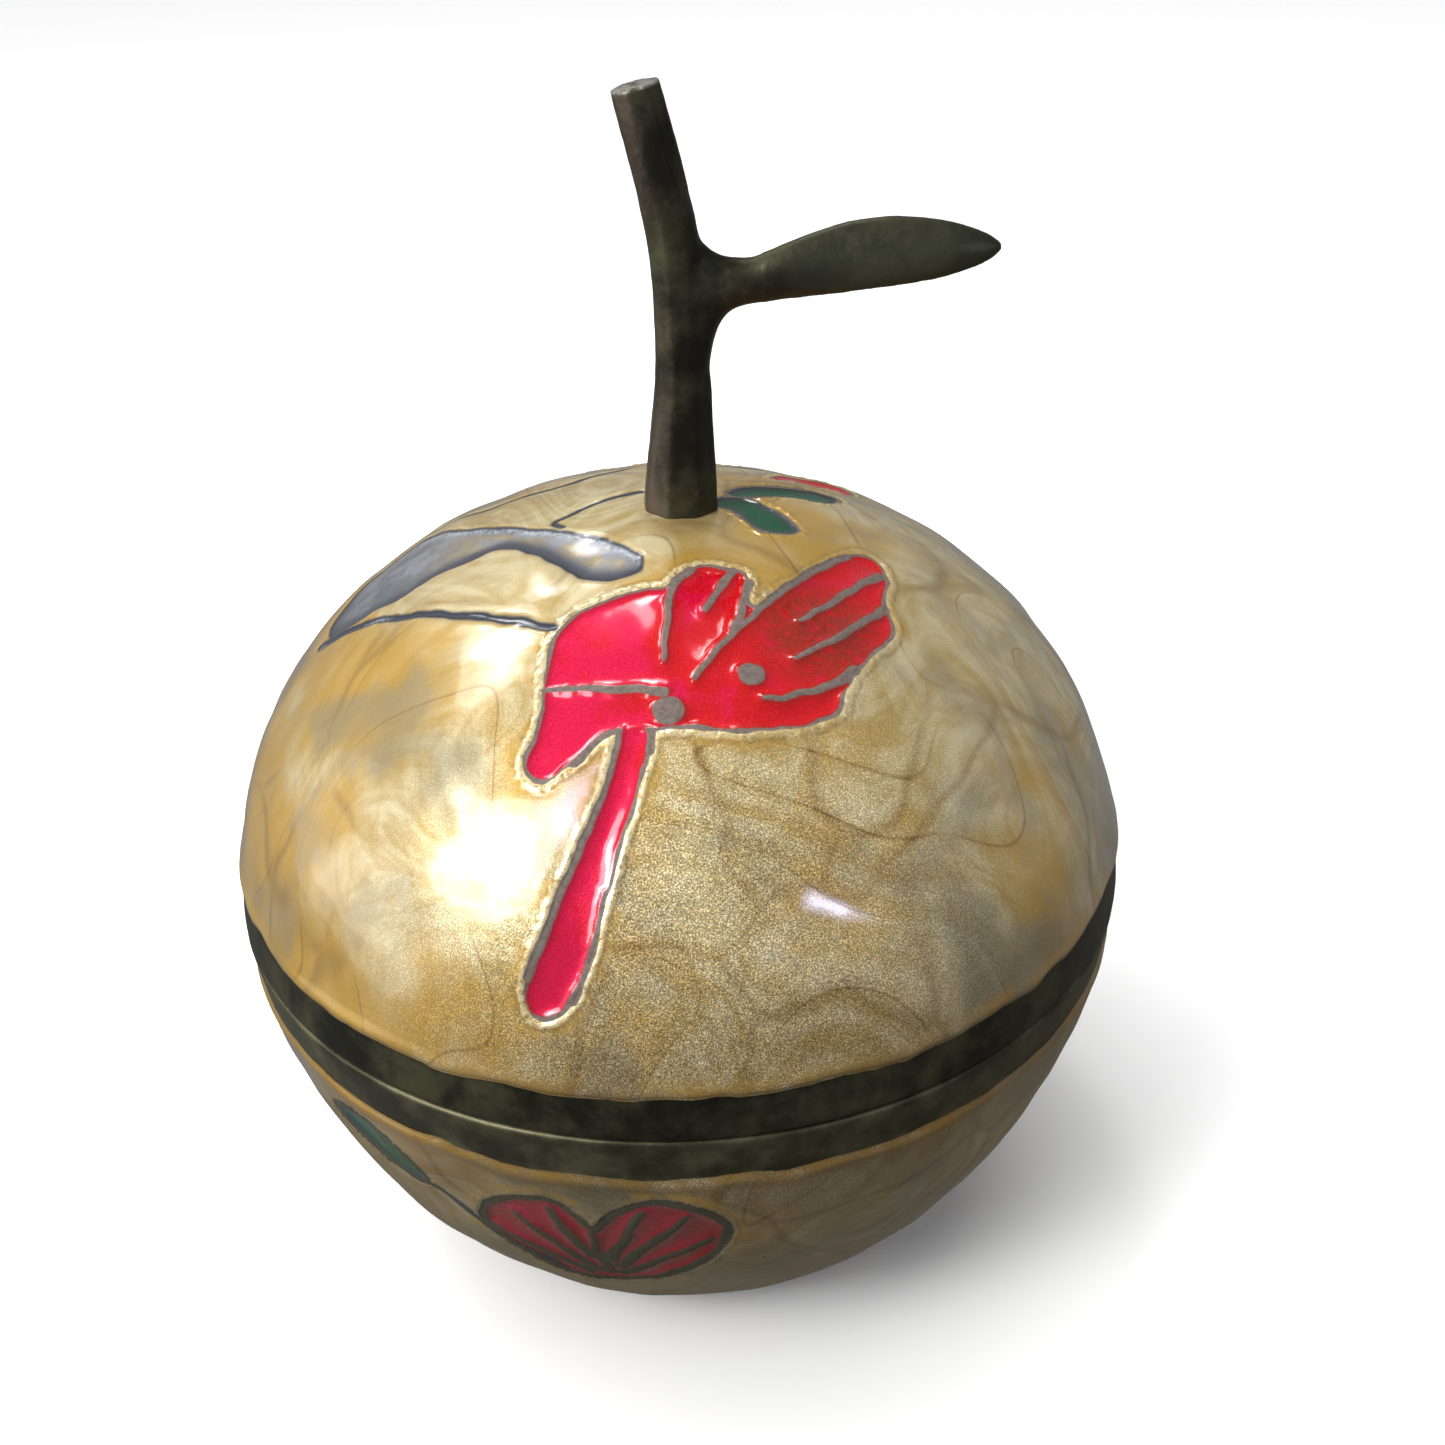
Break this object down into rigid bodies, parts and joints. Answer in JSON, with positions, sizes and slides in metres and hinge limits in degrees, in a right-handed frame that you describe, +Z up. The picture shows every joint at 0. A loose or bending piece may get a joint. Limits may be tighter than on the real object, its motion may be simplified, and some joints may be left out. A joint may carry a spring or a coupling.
{
  "type": "cloisonne enamel box",
  "caption": "Round fruit-shaped enamelled brass box: a hollow bowl and a domed lift-off lid with a cast twig and leaf as its handle.",
  "frame": {"origin": "middle of the flat underside", "axes": "+Z up through the crown and along the twig, +X the way the leaf points"},
  "size_m": [0.0896, 0.0896, 0.113],
  "materials": {
    "bowl_enamel": "glossy pearl enamel on brass",
    "lid_enamel": "glossy pearl enamel on brass",
    "dark_brass": "dark oxidised cast brass"
  },
  "bodies": {
    "root": {"bowl": "bowl_enamel", "lid": "lid_enamel", "twig_handle": "dark_brass"}
  },
  "joints": []
}
